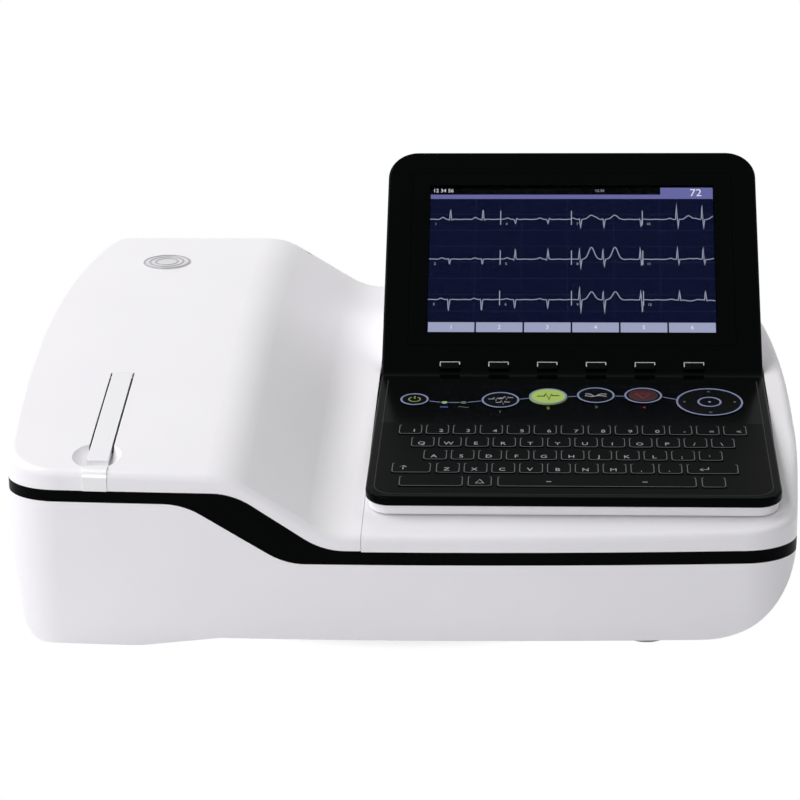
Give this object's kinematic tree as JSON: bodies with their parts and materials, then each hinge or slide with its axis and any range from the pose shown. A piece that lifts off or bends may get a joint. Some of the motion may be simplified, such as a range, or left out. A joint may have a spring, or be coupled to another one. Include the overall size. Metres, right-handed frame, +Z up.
{
  "type": "ecg machine",
  "caption": "Table-top ECG recorder: white two-level case with a hinged printer lid and latch lever on the left, and a bent black console with display, keys and keyboard on the right.",
  "frame": {"origin": "on the table under the middle of the case", "axes": "+X to the operator's right, +Y to the back, +Z up; the front edge faces -Y"},
  "size_m": [0.388, 0.33, 0.1911],
  "materials": {
    "white_shell": "glossy white moulded plastic",
    "dark_band": "near-black moulded trim",
    "black_panel": "polished black panel",
    "overlay_film": "satin black membrane",
    "silver_trim": "bright silver trim",
    "badge_metal": "plain satin disc",
    "window_glass": "clear cover window",
    "screen": "display panel",
    "soft_key_grey": "dark grey key cap",
    "round_key_black": "black key cap with a coloured ring",
    "start_green": "green key cap",
    "stop_red": "dark red key cap",
    "lens": "small lamp lens",
    "steel": "ground steel",
    "nylon": "natural nylon",
    "inner_grey": "grey inner moulding",
    "rubber": "black rubber",
    "paper": "folded chart paper",
    "circuit": "green circuit board",
    "motor_metal": "dark painted motor can",
    "supply_metal": "folded metal can",
    "battery": "wrapped cells",
    "connector": "black connector body"
  },
  "bodies": {
    "base": {"bottom_housing": "white_shell", "top_cover": "white_shell", "console_shell": "white_shell", "battery_cover": "white_shell", "band_trim": "dark_band", "console_panel": "black_panel", "keypad_overlay": "overlay_film", "display_window": "window_glass", "lcd_module": "screen", "status_lights": "lens", "hinge_brackets": "steel", "idler_pin": "steel", "motor_bracket": "steel", "case_screws": "steel", "platen_bushes": "nylon", "paper_tray": "inner_grey", "feet": "rubber", "paper_pack": "paper", "keypad_board": "circuit", "soft_key_board": "circuit", "main_board": "circuit", "stepper_motor": "motor_metal", "power_supply": "supply_metal", "battery_pack": "battery", "speaker": "connector", "power_inlet": "connector", "lead_connector": "connector", "network_port": "connector", "usb_port": "connector"},
    "lid": {"printer_lid": "white_shell", "hinge_pins": "steel", "lever_pin": "steel", "catch_trim": "silver_trim", "badge_disc": "badge_metal", "print_head": "inner_grey", "head_bracket": "steel"},
    "lever": {"latch_lever": "silver_trim"},
    "latch": {"latch_bar": "steel"},
    "platen": {"platen_roller": "rubber", "platen_shaft": "steel", "platen_gear": "nylon"},
    "idler": {"idler_gear": "nylon"},
    "pinion": {"motor_pinion": "nylon", "motor_shaft": "steel"},
    "soft_key_1_cap": {"soft_key_1": "soft_key_grey"},
    "soft_key_2_cap": {"soft_key_2": "soft_key_grey"},
    "soft_key_3_cap": {"soft_key_3": "soft_key_grey"},
    "soft_key_4_cap": {"soft_key_4": "soft_key_grey"},
    "soft_key_5_cap": {"soft_key_5": "soft_key_grey"},
    "soft_key_6_cap": {"soft_key_6": "soft_key_grey"},
    "leads_key_cap": {"leads_key": "round_key_black"},
    "start_key_cap": {"start_key": "start_green"},
    "rhythm_key_cap": {"rhythm_key": "round_key_black"},
    "stop_key_cap": {"stop_key": "stop_red"},
    "power_key_cap": {"power_key": "round_key_black"},
    "cursor_pad_cap": {"cursor_pad": "round_key_black"},
    "cursor_hub_cap": {"cursor_hub": "round_key_black"}
  },
  "joints": [
    {"name": "lid_hinge", "type": "hinge", "parent": "base", "child": "lid", "pos_m": [-0.1265, 0.144, 0.1228], "axis": [-1, 0, 0], "range_deg": [0, 60]},
    {"name": "lever_pivot", "type": "hinge", "parent": "lid", "child": "lever", "pos_m": [-0.1435, -0.0656, 0.10769], "axis": [-1, 0, 0], "range_deg": [0, 25], "stiffness_Nm_per_rad": 0.05},
    {"name": "latch_slide", "type": "slide", "parent": "lid", "child": "latch", "axis": [0, -1, 0], "range_m": [0, 0.0016]},
    {"name": "platen_turn", "type": "hinge", "parent": "base", "child": "platen", "pos_m": [-0.127, -0.139, 0.068], "axis": [1, 0, 0], "continuous": true},
    {"name": "idler_turn", "type": "hinge", "parent": "base", "child": "idler", "pos_m": [-0.0781, -0.12592, 0.05125], "axis": [1, 0, 0], "continuous": true},
    {"name": "pinion_turn", "type": "hinge", "parent": "base", "child": "pinion", "pos_m": [-0.0781, -0.10877, 0.04501], "axis": [1, 0, 0], "continuous": true},
    {"name": "soft_key_1_press", "type": "slide", "parent": "base", "child": "soft_key_1_cap", "axis": [0, 0.7059, -0.7083], "range_m": [0, 0.0008], "stiffness_N_per_m": 800},
    {"name": "soft_key_2_press", "type": "slide", "parent": "base", "child": "soft_key_2_cap", "axis": [0, 0.7059, -0.7083], "range_m": [0, 0.0008], "stiffness_N_per_m": 800},
    {"name": "soft_key_3_press", "type": "slide", "parent": "base", "child": "soft_key_3_cap", "axis": [0, 0.7059, -0.7083], "range_m": [0, 0.0008], "stiffness_N_per_m": 800},
    {"name": "soft_key_4_press", "type": "slide", "parent": "base", "child": "soft_key_4_cap", "axis": [0, 0.7059, -0.7083], "range_m": [0, 0.0008], "stiffness_N_per_m": 800},
    {"name": "soft_key_5_press", "type": "slide", "parent": "base", "child": "soft_key_5_cap", "axis": [0, 0.7059, -0.7083], "range_m": [0, 0.0008], "stiffness_N_per_m": 800},
    {"name": "soft_key_6_press", "type": "slide", "parent": "base", "child": "soft_key_6_cap", "axis": [0, 0.7059, -0.7083], "range_m": [0, 0.0008], "stiffness_N_per_m": 800},
    {"name": "leads_key_press", "type": "slide", "parent": "base", "child": "leads_key_cap", "axis": [0, 0.1392, -0.9903], "range_m": [0, 0.0008], "stiffness_N_per_m": 800},
    {"name": "start_key_press", "type": "slide", "parent": "base", "child": "start_key_cap", "axis": [0, 0.1392, -0.9903], "range_m": [0, 0.0008], "stiffness_N_per_m": 800},
    {"name": "rhythm_key_press", "type": "slide", "parent": "base", "child": "rhythm_key_cap", "axis": [0, 0.1392, -0.9903], "range_m": [0, 0.0008], "stiffness_N_per_m": 800},
    {"name": "stop_key_press", "type": "slide", "parent": "base", "child": "stop_key_cap", "axis": [0, 0.1392, -0.9903], "range_m": [0, 0.0008], "stiffness_N_per_m": 800},
    {"name": "power_key_press", "type": "slide", "parent": "base", "child": "power_key_cap", "axis": [0, 0.1392, -0.9903], "range_m": [0, 0.0008], "stiffness_N_per_m": 800},
    {"name": "cursor_pad_press", "type": "slide", "parent": "base", "child": "cursor_pad_cap", "axis": [0, 0.1392, -0.9903], "range_m": [0, 0.0008], "stiffness_N_per_m": 800},
    {"name": "cursor_hub_press", "type": "slide", "parent": "base", "child": "cursor_hub_cap", "axis": [0, 0.1392, -0.9903], "range_m": [0, 0.0008], "stiffness_N_per_m": 800}
  ],
  "couplings": [
    {"joint": "latch_slide", "follows": "lever_pivot", "m_per_rad": 0.0034377},
    {"joint": "idler_turn", "follows": "platen_turn", "ratio": -0.75},
    {"joint": "pinion_turn", "follows": "platen_turn", "ratio": 1.5}
  ]
}
